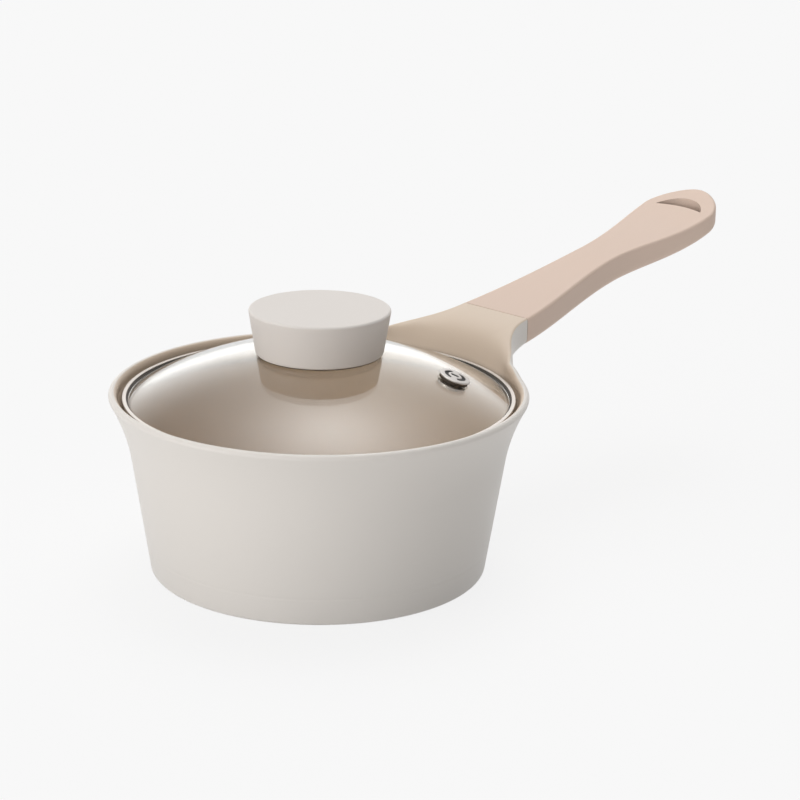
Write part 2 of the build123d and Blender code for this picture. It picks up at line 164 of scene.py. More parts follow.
# Vent
vent_distance = 55.0 * mm
vent_bearing = -55.0
vent_radius = 6.7 * mm
vent_thickness = 0.8 * mm
vent_bulge = 0.35 * mm
vent_edge = 0.35 * mm
vent_side_start = 80.0
vent_side_end = -20.0
slot_radius = 3.7 * mm
slot_width = 1.6 * mm
slot_spread = 58.0
slot_sink = 0.45 * mm
slot_slope = 0.24 * mm  # the width of its sloping sides
bar_length = 3.6 * mm
bar_width = 1.9 * mm
gasket_radius = 6.1 * mm
gasket_thickness = 0.75 * mm
stem_radius = 4.2 * mm
stem_length = 5.0 * mm

# Mesh fineness: columns round a piece, and points along each stretch of a column
plain_columns = 184
ring_columns = 192
vent_columns = 96
rim_columns = 14
hollow_columns = 40
seam_columns = 12
gusset_columns = 25
gusset_points = 24
floor_points = 8
floor_corner_points = 10
inner_wall_points = 10
inner_flare_points = 20
scoop_points = 18
roll_points = 14
side_points = 9
side_arc_points = 5
tuck_points = 9
back_points = 28
outer_flare_points = 24
outer_wall_points = 16
base_edge_points = 8
base_points = 4
climb_points = 120
dome_points = 48
vent_face_points = 34
vent_side_points = 6
round_points = 5
round_share = 0.45  # the most of a side that a rounded corner takes
round_pull = 0.6
sharp_angle = 50.0

# Painted and moulded surfaces, with noise scales counted per metre
cloud_scale = 35
cloud_detail = 3
peel_detail = 2
peel_strength = 0.012
peel_height = 0.1 * mm
plain_mottle = 0.012
coat_smoother = 0.05
coat_rougher = 0.06
coat_noise_range = (0.1, 0.45)
# Painted shade in narrow gaps: its occlusion samples and how dark the colour is painted there
painted_gap_samples = 8
own_gap_painted_shade = 0.2
inner_gap_painted_shade = 0.05

# Spun metal
ring_scale = 9000
ring_detail = 2
ring_strength = 0.05
ring_height = 0.05 * mm
ring_tones = (0.94, 1.04)
smear_scale = 60
smear_detail = 2
metal_smoother = 0.06
metal_rougher = 0.08
metal_noise_range = (0.5, 1.5)
# how dark the vent's slots are painted, as painted shade inside them
slot_painted_shade = 0.04

# Glass
tint_scale = 25
tint_detail = 2
glass_tints = ((0.965, 0.955, 0.915, 1), (0.985, 0.975, 0.935, 1))
glass_roughness = 0.05
glass_ior = 1.5
glass_light = (0.86, 0.85, 0.83, 1)  # the light that it lets through

# Light: bearing from the camera's right hand towards the back, elevation, tightness, strength
lobes = {
    "front_left": (215, 5, 10, 4.1),
    "front": (260, 8, 6, 1.1),
    "overhead": (85, 72, 10, 2.9),
    "overhead_strip": (84, 68, 40, 1.5),
    "back": (90, 20, 6, 1.0),
    "right": (0, 8, 6, 0.22),
}
ambient = 0.02
backdrop = (0.94, 0.94, 0.94, 1)
mirror_low = 0.72  # the level that mirrors and glass see near the horizon
mirror_high = 0.02  # and overhead
mirror_range = (0.12, 0.55)  # the sines of elevation between the two

# Floor
floor_half = 30.0
floor_drop = 0.2 * mm
floor_tone = (0.973, 0.973, 0.973, 1)
floor_paint = (0.85, 0.85, 0.85, 1)
floor_share = 0.15  # the part of it that takes the shadow
# The floor's glow that lights the pan as painted bounce light, and its painted shadow near the pan
floor_bounce = 0.754
painted_shadow_share = 0.5
painted_shadow_reach = 0.2

# Worked out from the vessel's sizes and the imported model
lean = math.radians(wall_lean)
lip_radius = wall / 2
wall_top_radius = base_radius + wall_height * math.tan(lean)
flare_centre = (
    wall_top_radius + flare_radius * math.cos(lean),
    wall_height - flare_radius * math.sin(lean),
)
plate_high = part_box("induction_plate")[1]
grip_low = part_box("handle_grip")[0]
band_low, band_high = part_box("lid_rim_band")
glass_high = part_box("lid_glass")[1]
seam_x = grip_low.x - seam_gap


def flare_point(angle, radius):
    """A point of the flare in section, as radius and height, at a lean from upright."""
    turn = math.radians(angle)
    return (
        flare_centre[0] - radius * math.cos(turn),
        flare_centre[1] + radius * math.sin(turn),
    )


lip_r, lip_z = flare_point(flare_lean, flare_radius + lip_radius)
rim_radius = lip_r + lip_radius
rim_height = lip_z + lip_radius
seam_z = rim_height + seam_rise
foot_x = rim_radius * math.cos(math.radians(foot_bearing))


class EdgePoint(NamedTuple):
    """A point of the pan's edge seen from above, and the way out from it."""

    place: np.ndarray
    outward: np.ndarray
    on_seam: bool


def arc(centre, radius, start, end, count):
    """Points of an arc in section, angles in degrees counted from outward towards up."""
    turns = np.radians(np.linspace(start, end, count))
    return np.stack([centre[0] + radius * np.cos(turns), centre[1] + radius * np.sin(turns)], axis=1)


def run(start, end, count):
    """Points evenly along a straight line."""
    shares = np.linspace(0, 1, count)[:, None]
    return np.asarray(start) * (1 - shares) + np.asarray(end) * shares


def resample(points, count):
    """The same path with a number of points spread evenly along it."""
    along = path_lengths(points)
    places = np.linspace(0, along[-1], count)
    return np.stack([np.interp(places, along, values) for values in points.T], axis=1)


def path_lengths(points):
    """How far along a path each of its points is."""
    steps = np.linalg.norm(np.diff(points, axis=0), axis=1)
    return np.concatenate([[0], np.cumsum(steps)])


def bezier(first, first_pull, last_pull, last, count):
    """Points of a cubic curve from its two ends and its two pulls."""
    share = np.linspace(0, 1, count)[:, None]
    rest = 1 - share
    ends = rest**3 * np.asarray(first) + share**3 * np.asarray(last)
    pulls = rest**2 * share * np.asarray(first_pull) + rest * share**2 * np.asarray(last_pull)
    return ends + 3 * pulls


def smooth_share(value, width):
    """From 0 to 1 as a value goes from nothing to a width, with a soft start and end."""
    share = np.clip(value / width, 0, 1)
    return share * share * (3 - 2 * share)


def soft_max(first, second, width):
    """The larger of two values, with the change from one to the other rounded."""
    return (first + second + np.sqrt((first - second) ** 2 + width**2)) / 2


def blend(first, second, share):
    """A value between two others."""
    return first + (second - first) * share


def around(section, bearing):
    """Points in section, set at a bearing in radians round the axis."""
    flat = section[:, :1] * np.array([[math.cos(bearing), math.sin(bearing)]])
    return np.hstack([flat, section[:, 1:]])


def neck_climb():
    """The neck's upper edge seen from the side: distances along the handle and heights."""
    start = np.array([foot_x, lip_z])
    end = np.array([seam_x, seam_z])
    foot = math.radians(foot_slope)
    head = math.radians(seam_slope)
    foot_run = foot_pull * np.array([math.cos(foot), math.sin(foot)])
    head_run = head_pull * np.array([math.cos(head), math.sin(head)])
    curve = bezier(start, start + foot_run, end - head_run, end, climb_points)
    before = start - foot_run
    return np.vstack([before, curve])


climb = neck_climb()
climb_slopes = np.gradient(climb[:, 1], climb[:, 0])


def climb_at(along):
    """The neck's edge height and slope at a distance along the handle."""
    height = np.interp(along, climb[:, 0], climb[:, 1])
    slope = np.interp(along, climb[:, 0], climb_slopes)
    return height, slope


def underside_at(along):
    """The height of the neck's underside at a distance along the handle."""
    share = np.clip((along - foot_x) / (seam_x - foot_x), 0, 1)
    sag = under_sag * np.sin(math.pi * share**under_skew)
    return blend(lip_z, seam_z - grip_thickness, share) - sag


def rim_point(bearing):
    """A point of the plain round rim at a bearing in radians."""
    outward = np.array([math.cos(bearing), math.sin(bearing)])
    return EdgePoint(rim_radius * outward, outward, False)


def neck_outline():
    """Half of the pan's edge from above, from the plain rim to the middle of the seam."""
    reach = seam_x**2 + seam_half_width**2 - rim_radius**2
    hollow = reach / (2 * (rim_radius - seam_half_width))
    centre = np.array([seam_x, seam_half_width + hollow])
    leave = math.atan2(centre[1], centre[0])
    bearings = np.linspace(math.radians(neck_start), leave, rim_columns, endpoint=False)
    points = [rim_point(bearing) for bearing in bearings]
    for share in np.linspace(0, 1, hollow_columns):
        turn = blend(leave + math.pi, 1.5 * math.pi, share)
        spoke = np.array([math.cos(turn), math.sin(turn)])
        filled = hollow - waist_fill * math.sin(math.pi * share**waist_skew) ** 2
        points.append(EdgePoint(centre + filled * spoke, -spoke, False))
    for across in np.linspace(seam_half_width - grip_bottom_edge, 0, seam_columns):
        points.append(EdgePoint(np.array([seam_x, across]), np.array([1.0, 0.0]), True))
    return points


def outside_radius(height):
    """The radius of the straight outside of the wall at a height."""
    return base_radius - wall_trim + height * math.tan(lean)


def outer_flare():
    """The outside of the flare in section, from under the lip down to the straight wall."""
    turn = math.radians(under_lip_lean)
    start = np.array([lip_r + lip_radius * math.cos(turn), lip_z - lip_radius * math.sin(turn)])
    end = np.array([outside_radius(flare_foot), flare_foot])
    reach = np.linalg.norm(end - start) * plain_reach
    start_pull = start - reach * np.array([math.sin(turn), math.cos(turn)])
    end_pull = end + reach * np.array([math.sin(lean), math.cos(lean)])
    return bezier(start, start_pull, end_pull, end, outer_flare_points)


def groove_section():
    """The faint line round the wall in section, from its top to its bottom."""
    shares, drops = np.array(groove_shape).T
    heights = groove_height + shares * groove_half_width
    return np.stack([outside_radius(heights) - drops * groove_depth, heights], axis=1)


def recess_section():
    """The recess for the steel plate in section, from its mouth to the axis."""
    radius = plate_high.x + plate_clearance
    depth = plate_high.z
    return np.array([
        (radius + recess_chamfer, 0),
        (radius, recess_chamfer),
        (radius, depth),
        (radius / 2, depth),
        (0, depth),
    ])


def inner_rows(bearing, seat):
    """One column of the inside, from the floor's middle to where the neck or lip begins.

    The seat is the depth of the hollow in which the edge of the lid lies.
    """
    corner_r, corner_z = flare_point(wall_lean, flare_radius + wall)
    foot_r = corner_r - (corner_z - floor_thickness) * math.tan(lean)
    turn_r = foot_r - floor_corner * math.tan(math.pi / 4 - lean / 2)
    turn_centre = (turn_r, floor_thickness + floor_corner)
    fillet = arc(turn_centre, floor_corner, -90, -wall_lean, floor_corner_points)
    floor = run((0, floor_thickness), (turn_r, floor_thickness), floor_points)[:-1]
    angles = np.linspace(wall_lean, mouth_lean, inner_flare_points)
    reaches = flare_radius + wall - seat * smooth_share(angles - seat_start, seat_blend)
    flare = np.array([flare_point(angle, reach) for angle, reach in zip(angles, reaches)])
    upright = run(fillet[-1], flare[0], inner_wall_points)[1:-1]
    return around(np.vstack([floor, fillet, upright, flare]), bearing)


def outer_rows(bearing):
    """One column of the outside, from the foot of the flare to the middle of the base."""
    foot_r = outside_radius(0) - base_edge * math.tan(math.pi / 4 - lean / 2)
    edge = arc((foot_r, base_edge), base_edge, -wall_lean, -90, base_edge_points)
    upright = run((outside_radius(flare_foot), flare_foot), edge[0], outer_wall_points)[1:-1]
    groove = groove_section()
    above = upright[upright[:, 1] > groove[0, 1]]
    below = upright[upright[:, 1] < groove[-1, 1]]
    recess = recess_section()
    base = run(edge[-1], recess[0], base_points)[1:-1]
    return around(np.vstack([above, groove, below, edge, base, recess]), bearing)


def edge_slope(point, risen):
    """How steeply the inside goes up and outward where it reaches the edge."""
    if point.on_seam:
        climb_slope = math.tan(math.radians(seam_slope))
    else:
        climb_slope = climb_at(point.place[0])[1] * point.outward[0]
    return blend(math.tan(math.radians(90 - rim_lean)), climb_slope, risen)


def rolled_edge(point, height, first_turn):
    """The points over the edge: its roll, its upright side and the tuck under it."""
    left = float(smooth_share(np.linalg.norm(point.place) - rim_radius, leave_blend))
    top_edge = seam_edge if point.on_seam else blend(lip_radius, grip_top_edge, left)
    low_edge = seam_edge if point.on_seam else blend(lip_radius, grip_bottom_edge, left)
    top_centre = (-top_edge, height - top_edge)
    low_centre = (-low_edge, blend(lip_z, underside_at(point.place[0]) + low_edge, left))
    roll = arc(top_centre, top_edge, first_turn, roll_end, roll_points)
    side = np.vstack([
        arc(top_centre, top_edge, roll_end, 0, side_arc_points),
        arc(low_centre, low_edge, 0, tuck_start, side_arc_points),
    ])
    tuck = arc(low_centre, low_edge, tuck_start, -blend(under_lip_lean, 90, left), tuck_points)
    section = np.vstack([roll, resample(side, side_points)[1:-1], tuck])
    return np.hstack([point.place + section[:, :1] * point.outward, section[:, 1:]])


def scoop(start, end, bearing, end_rise, risen):
    """The inside from the top of the flare to the edge.

    The end's rise is the slope of the surface at the edge, along X and along Y.
    """
    chord = end - start
    length = np.linalg.norm(chord)
    ahead = chord[:2] / np.linalg.norm(chord[:2])
    end_slope = ahead @ end_rise
    end_way = np.array([*ahead, end_slope]) / math.hypot(1, end_slope)
    lift = math.radians(blend(seat_rise, 90 - mouth_lean, risen))
    level = math.cos(lift)
    start_way = np.array([level * math.cos(bearing), level * math.sin(bearing), math.sin(lift)])
    start_pull = start + blend(plain_reach, mouth_reach, risen) * length * start_way
    end_pull = end - blend(plain_reach, seam_reach, risen) * length * end_way
    return bezier(start, start_pull, end_pull, end, scoop_points)[1:-1]


def roll_coat(height, first_turn):
    """How far each point of the edge's roll is inside the pan's tan coat."""
    climbed = float(smooth_share(height - rim_height, coat_blend))
    coat_turn = blend(rim_coat_turn, neck_coat_turn, climbed)
    turns = np.linspace(first_turn, roll_end, roll_points)
    return smooth_share(turns - coat_turn + coat_fade / 2, coat_fade)


def pan_column(point, bearing, height, slope_along):
    """One column of the pan: up the inside, over its edge, and down to the middle of the base.

    Returns the points and, for each, how far it is inside the pan's tan coat.
    """
    along = np.array([point.outward[1], -point.outward[0]])
    risen = float(smooth_share(height - rim_height, climb_blend))
    slope = edge_slope(point, risen)
    first_turn = 90 + math.degrees(math.atan(slope))
    inside = inner_rows(bearing, seat_depth * (1 - risen))
    over = rolled_edge(point, height, first_turn)
    top = scoop(inside[-1], over[0], bearing, slope * point.outward + slope_along * along, risen)
    flare = around(outer_flare(), bearing)
    back = resample(np.vstack([over[-1], flare]), back_points)[1:]
    column = np.vstack([inside, top, over, back, outer_rows(bearing)])
    roll_start = len(inside) + len(top)
    coat = np.zeros(len(column))
    coat[:roll_start] = 1
    coat[roll_start : roll_start + roll_points] = roll_coat(height, first_turn)
    return column, coat


def pan_columns():
    """All the pan's columns, with the coat value of each point."""
    half = neck_outline()
    places = np.array([point.place for point in half])
    on_seam = np.array([point.on_seam for point in half])
    along = path_lengths(places)
    heights = soft_max(rim_height, climb_at(places[:, 0])[0], lip_blend)
    heights[on_seam] = seam_z
    heights += (rim_height - heights[0]) * (1 - smooth_share(along, join_blend))
    slopes = np.zeros(len(half))
    slopes[~on_seam] = np.gradient(heights[~on_seam], along[~on_seam])
    spread = math.radians(neck_start)
    ease = (along[-1] / rim_radius - spread) / along[-1] ** 2
    bearings = spread - along / rim_radius + ease * along**2
    made = [pan_column(*values) for values in zip(half, bearings, heights, slopes)]
    other_side = np.array([1, -1, 1])
    made += [(column * other_side, coat) for column, coat in made[-2::-1]]
    for bearing in np.linspace(-spread, spread - 2 * math.pi, plain_columns + 2)[1:-1]:
        made.append(pan_column(rim_point(bearing), bearing, rim_height, 0.0))
    columns, coats = zip(*made)
    return np.array(columns), np.array(coats)


def turns_round(count):
    """Bearings in radians, spread evenly once round."""
    return np.linspace(0, 2 * math.pi, count, endpoint=False)


def axis_shell(columns, flip=False):
    """Points and faces from columns round an axis whose first and last points meet on it."""
    count, depth = columns.shape[:2]
    body = columns[:, 1:-1].reshape(-1, 3)
    points = np.vstack([columns[0, 0], columns[0, -1], body])
    inner = depth - 2
    faces = []
    for column in range(count):
        near = 2 + column * inner
        far = 2 + (column + 1) % count * inner
        faces.append((0, near, far))
        faces.append((1, far + inner - 1, near + inner - 1))
        for row in range(inner - 1):
            faces.append((near + row, near + row + 1, far + row + 1, far + row))
    if flip:
        faces = [face[::-1] for face in faces]
    return points, faces


def ring_shell(section, count):
    """Points and faces of a closed section, listed clockwise, turned once round the axis."""
    depth = len(section)
    points = np.vstack([around(section, turn) for turn in turns_round(count)])
    faces = []
    for column in range(count):
        near = column * depth
        far = (column + 1) % count * depth
        for row in range(depth):
            ahead = (row + 1) % depth
            faces.append((near + row, near + ahead, far + ahead, far + row))
    return points, faces


def loft_shell(outlines, places):
    """Points and faces through outlines, each at its place across the handle.

    An outline holds distances along the handle and heights, listed counterclockwise.
    """
    count = len(outlines[0])
    points = []
    for outline, across in zip(outlines, places):
        points += [(along, across, height) for along, height in outline]
    last = (len(outlines) - 1) * count
    faces = [tuple(range(count)), tuple(range(last + count - 1, last - 1, -1))]
    for start in range(0, last, count):
        for place in range(count):
            ahead = (place + 1) % count
            faces.append((start + ahead, start + place, start + count + place, start + count + ahead))
    return np.array(points), faces


def shell_mesh(name, *shells):
    """One mesh from closed shells, smooth but for its sharp edges."""
    points = np.vstack([shell[0] for shell in shells])
    faces = []
    start = 0
    for shell_points, shell_faces in shells:
        faces += [tuple(start + corner for corner in face) for face in shell_faces]
        start += len(shell_points)
    mesh = bpy.data.meshes.new(name)
    mesh.from_pydata(points.tolist(), [], faces)
    mesh.validate()
    mesh.shade_smooth()
    mesh.set_sharp_from_angle(angle=math.radians(sharp_angle))
    return mesh


def rounded(corners, radius):
    """A closed outline with each corner rounded."""
    corners = np.asarray(corners, dtype=float)
    path = []
    for place, corner in enumerate(corners):
        before = corners[place - 1] - corner
        after = corners[(place + 1) % len(corners)] - corner
        before_length = np.linalg.norm(before)
        after_length = np.linalg.norm(after)
        reach = min(radius, before_length * round_share, after_length * round_share)
        first = corner + before / before_length * reach
        last = corner + after / after_length * reach
        first_pull = blend(first, corner, round_pull)
        last_pull = blend(last, corner, round_pull)
        path.append(bezier(first, first_pull, last_pull, last, round_points))
    return np.vstack(path)


def add_values(mesh, name, values):
    """Gives a mesh one number for each point."""
    attribute = mesh.attributes.new(name, "FLOAT", "POINT")
    attribute.data.foreach_set("value", np.asarray(values, dtype=np.float32))


def add_piece(mesh, body, slot, *replaced):
    """Puts a mesh in the scene as a piece that rides on a body and stands for CAD nodes."""
    piece = bpy.data.objects.new(mesh.name, mesh)
    bpy.context.scene.collection.objects.link(piece)
    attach(piece, body)
    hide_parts(*replaced)
    return piece


def gusset_shell():
    """The web under the neck, hollowed towards the wall, that swells out of the pan's metal."""
    low_z = lip_z - gusset_drop
    foot = np.array([outside_radius(low_z) - gusset_root, low_z])
    outer = foot[0] + gusset_reach
    tip = np.array([outer, underside_at(outer) + gusset_root])
    low_pull = foot + np.array([gusset_bulge, gusset_pull])
    tip_pull = np.array([outer - gusset_pull, lip_z - gusset_hang])
    crest = bezier(foot, low_pull, tip_pull, tip, gusset_points)
    corner = np.array([lip_r, lip_z + gusset_corner_lift])
    buried = resample(np.array([foot, corner, tip]), gusset_points)
    deeper = buried[::-1] + np.array([-gusset_back, gusset_back])
    places = np.linspace(-gusset_width / 2, gusset_width / 2, gusset_columns)
    swells = smooth_share(gusset_width / 2 - np.abs(places), gusset_width / 2)
    outlines = [np.vstack([blend(buried, crest, swell), deeper]) for swell in swells]
    return loft_shell(outlines, places)


def tang_shell():
    """The flat tang that runs from the neck into the grip."""
    tilt = math.radians(tang_tilt)
    ahead = np.array([math.cos(tilt), math.sin(tilt)])
    up = np.array([-math.sin(tilt), math.cos(tilt)])
    middle = np.array([seam_x, seam_z - tang_depth - tang_thickness / 2])
    half = up * tang_thickness / 2
    root = middle - ahead * tang_root
    end = middle + ahead * tang_length
    outline = [root - half, end - half, end + half, root + half]
    return loft_shell([outline, outline], [-tang_width / 2, tang_width / 2])


def pan_piece():
    """The coated pan with its neck, gusset and tang."""
    columns, coats = pan_columns()
    skin = axis_shell(columns, flip=True)
    extras = [gusset_shell(), tang_shell()]
    mesh = shell_mesh("pan_skin", skin, *extras)
    bare = sum(len(points) for points, faces in extras)
    add_values(mesh, "inside", [1, 0, *coats[:, 1:-1].reshape(-1), *([0] * bare)])
    return add_piece(mesh, "pan", "cream_coat", "pan_body")


def dome_height(radius):
    """The height of the glass dome's outside at a distance from its axis."""
    return glass_high.z - dome_radius + math.sqrt(dome_radius**2 - radius**2)


def glass_piece():
    """The glass dome, of even thickness, with the hole for the knob's screw."""
    centre = (0, glass_high.z - dome_radius)
    inner_radius = dome_radius - glass_thickness
    edge = math.degrees(math.acos(glass_high.x / dome_radius))
    outer_bore = math.degrees(math.acos(glass_bore / dome_radius))
    inner_bore = math.degrees(math.acos(glass_bore / inner_radius))
    outer_face = arc(centre, dome_radius, outer_bore, edge, dome_points)
    inner_face = arc(centre, inner_radius, edge, inner_bore, dome_points)
    mesh = shell_mesh("glass_dome", ring_shell(np.vstack([outer_face, inner_face]), ring_columns))
    return add_piece(mesh, "lid", "lid_glass", "lid_glass")


def band_piece():
    """The folded steel ring round the edge of the glass."""
    outer = band_high.x
    top = band_high.z - band_lowering
    knee = band_high.z - knee_drop
    lean_in = math.tan(math.radians(skirt_lean))
    foot = outer - (knee - band_low.z) * lean_in
    inner = outer - flange_width
    corners = [
        (inner, top),
        (outer, top),
        (outer, knee),
        (foot, band_low.z),
        (foot - band_sheet, band_low.z + band_sheet * lean_in),
        (outer - band_sheet, knee + band_sheet * lean_in / 2),
        (outer - band_sheet, top - band_sheet),
        (inner, top - band_sheet),
    ]
    mesh = shell_mesh("rim_ring", ring_shell(rounded(corners, band_corner), ring_columns))
    return add_piece(mesh, "lid", "band_steel", "lid_rim_band")


def seal_piece():
    """The dark gasket between the steel ring and the glass."""
    outer = band_high.x - band_sheet
    top = band_high.z - band_lowering - band_sheet
    knee = band_high.z - knee_drop
    lip = band_high.x - flange_width
    shown = lip - seal_show
    low = dome_height(shown) - seal_depth
    root = shown - seal_depth * math.tan(math.asin(glass_high.x / dome_radius))
    skirt = outer - (knee - low) * math.tan(math.radians(skirt_lean))
    corners = [
        (shown, dome_height(shown) + seal_proud),
        (lip, top),
        (outer, top),
        (outer, knee),
        (skirt, low),
        (root, low),
    ]
    mesh = shell_mesh("rim_gasket", ring_shell(rounded(corners, band_corner / 2), ring_columns))
    return add_piece(mesh, "lid", "dark_seal", "lid_rim_seal")


def vent_frame():
    """The place and tilt of the vent on the dome."""
    bearing = math.radians(vent_bearing)
    tilt = math.asin(vent_distance / dome_radius)
    outward = Vector((math.cos(bearing), math.sin(bearing), 0))
    place = outward * vent_distance + Vector((0, 0, dome_height(vent_distance)))
    return Matrix.Translation(place) @ Matrix.Rotation(bearing, 4, "Z") @ Matrix.Rotation(tilt, 4, "Y")


def slot_share(along, across):
    """How deep the vent's slots are at a point of its face, from 0 to 1."""
    radius = math.hypot(along, across)
    turn = abs(math.degrees(math.atan2(across, along)))
    off_arc = abs(radius - slot_radius)
    beyond = math.radians(max(min(turn, 180 - turn) - slot_spread, 0)) * slot_radius
    arc_gap = math.hypot(off_arc, beyond) - slot_width / 2
    bar_gap = math.hypot(max(abs(along) - (bar_length - bar_width) / 2, 0), across) - bar_width / 2
    return 1 - float(smooth_share(min(arc_gap, bar_gap) + slot_slope / 2, slot_slope))


def vent_section():
    """The vent's button in section, from the middle of its face round to its underside."""
    middle = gasket_thickness + vent_thickness
    flat_radius = vent_radius - vent_edge
    face = run((0, 0), (flat_radius, 0), vent_face_points)
    face[:, 1] = middle + vent_bulge * (1 - (face[:, 0] / vent_radius) ** 2)
    edge_centre = (flat_radius, middle - vent_edge)
    side = arc(edge_centre, vent_edge, vent_side_start, vent_side_end, vent_side_points)
    under = [(flat_radius, gasket_thickness), (0, gasket_thickness)]
    return np.vstack([face, side, under])


def vent_piece():
    """The steel vent: a low button with two curved slots and a bar slot sunk in its face."""
    columns = np.array([around(vent_section(), turn) for turn in turns_round(vent_columns)])
    depths = np.zeros(columns.shape[:2])
    for column, deep in zip(columns, depths):
        for row in range(vent_face_points):
            deep[row] = slot_share(*column[row, :2])
    columns[:, :, 2] -= depths * slot_sink
    mesh = shell_mesh("vent_button", axis_shell(columns))
    mesh.transform(vent_frame())
    # the slot values carry the painted shade of the slots into the vent's material
    add_values(mesh, "slot", [depths[0, 0], 0, *depths[:, 1:-1].reshape(-1)])
    return add_piece(mesh, "lid", "band_steel", "vent_eyelet")


def gasket_piece():
    """The dark gasket under the vent, with its stem through the glass."""
    section = np.array([
        (0, -stem_length),
        (stem_radius, -stem_length),
        (stem_radius, -gasket_thickness),
        (gasket_radius, -gasket_thickness),
        (gasket_radius, gasket_thickness),
        (0, gasket_thickness),
    ])
    columns = np.array([around(section, turn) for turn in turns_round(vent_columns)])
    mesh = shell_mesh("vent_gasket", axis_shell(columns, flip=True))
    mesh.transform(vent_frame())
    return add_piece(mesh, "lid", "dark_seal", "vent_seal")


def make_camera():
    """The camera at the photograph's viewing angle."""
    data = bpy.data.cameras.new("photo_camera")
    data.sensor_width = sensor_mm
    data.lens = lens_mm
    camera = bpy.data.objects.new("photo_camera", data)
    bpy.context.scene.collection.objects.link(camera)
    bearing = math.radians(camera_bearing)
    along = camera_distance * math.cos(bearing)
    across = camera_distance * math.sin(bearing)
    place = Vector((along, across, camera_height))
    turn = Matrix.Rotation(math.radians(view_bearing - 90), 4, "Z")
    tilt = Matrix.Rotation(math.radians(90 - view_drop), 4, "X")
    roll = Matrix.Rotation(math.radians(view_roll), 4, "Z")
    camera.matrix_world = Matrix.Translation(place) @ turn @ tilt @ roll
    bpy.context.scene.camera = camera


class Nodes:
    """A small helper that adds and links shader nodes in one tree."""

    def __init__(self, tree):
        self.tree = tree
        tree.nodes.clear()

    def add(self, kind, settings=None, **inputs):
        """A node with some settings, and inputs that are values or other nodes' outputs."""
        node = self.tree.nodes.new(kind)
        for name, value in (settings or {}).items():
            setattr(node, name, value)
        for name, value in inputs.items():
            self.feed(node.inputs[name.replace("_", " ")], value)
        return node

    def feed(self, socket, value):
        """Sets a socket's own value, or links another node's output to it."""
        if isinstance(value, bpy.types.NodeSocket):
            self.tree.links.new(value, socket)
        else:
            socket.default_value = value

    def feed_all(self, node, values):
        """Feeds a node's inputs in their order."""
        for socket, value in zip(node.inputs, values):
            self.feed(socket, value)

    def maths(self, operation, *values):
        """A sum on one, two or three numbers."""
        node = self.add("ShaderNodeMath", {"operation": operation})
        self.feed_all(node, values)
        return node.outputs["Value"]

    def vector(self, operation, *values, output="Vector"):
        """A sum on vectors."""
        node = self.add("ShaderNodeVectorMath", {"operation": operation})
        self.feed_all(node, values)
        return node.outputs[output]

    def mix_colours(self, share, first, second):
        """A colour between two others, on the colour sockets that a mix node keeps by number."""
        node = self.add("ShaderNodeMix", {"data_type": "RGBA"})
        self.feed(node.inputs[0], share)
        self.feed(node.inputs[6], first)
        self.feed(node.inputs[7], second)
        return node.outputs[2]

    def mix_shaders(self, share, first, second):
        """A shader between two others."""
        node = self.add("ShaderNodeMixShader")
        self.feed_all(node, (share, first, second))
        return node.outputs["Shader"]

    def noise(self, scale, detail, place=None):
        """A noise of a scale counted per metre."""
        node = self.add("ShaderNodeTexNoise", Scale=scale, Detail=detail)
        self.feed(node.inputs["Vector"], place or self.place())
        return node.outputs["Fac"]

    def place(self):
        """The surface point in the object's own frame."""
        return self.add("ShaderNodeTexCoord").outputs["Object"]

    def attribute(self, name):
        """A number that the mesh holds for each point."""
        return self.add("ShaderNodeAttribute", {"attribute_name": name}).outputs["Fac"]

    def spread(self, value, low, high, from_low, from_high):
        """A value carried from one range to another."""
        node = self.add("ShaderNodeMapRange", Value=value)
        node.inputs["From Min"].default_value = from_low
        node.inputs["From Max"].default_value = from_high
        node.inputs["To Min"].default_value = low
        node.inputs["To Max"].default_value = high
        return node.outputs["Result"]

    def painted_gap_shade(self, reach, power, own):
        """Painted shade: from 0 deep in a narrow gap to 1 in the open, by the piece's own walls alone
        where asked.
        """
        settings = {"samples": painted_gap_samples, "only_local": own}
        gap = self.add("ShaderNodeAmbientOcclusion", settings, Distance=reach)
        return self.maths("POWER", gap.outputs["AO"], power)

    def seen_again(self, path):
        """One for rays that see a thing by mirror or through glass."""
        return self.maths("MAXIMUM", path.outputs["Is Glossy Ray"], path.outputs["Is Transmission Ray"])


def new_material(name):
    """An empty node material and the helper for its tree."""
    material = bpy.data.materials.new(name)
    material.use_nodes = True
    return material, Nodes(material.node_tree)


def finish_material(net, shader):
    """Leads a shader to the material's output."""
    output = net.add("ShaderNodeOutputMaterial")
    net.tree.links.new(shader, output.inputs["Surface"])


def shade(colour, share):
    """A colour made a little darker or lighter, as four numbers."""
    return (*(share * part for part in colour), 1.0)


def mottled(net, cloud, colour, mottle):
    """A colour that a noise makes a little darker and lighter."""
    return net.mix_colours(cloud, shade(colour, 1 - mottle), shade(colour, 1 + mottle))


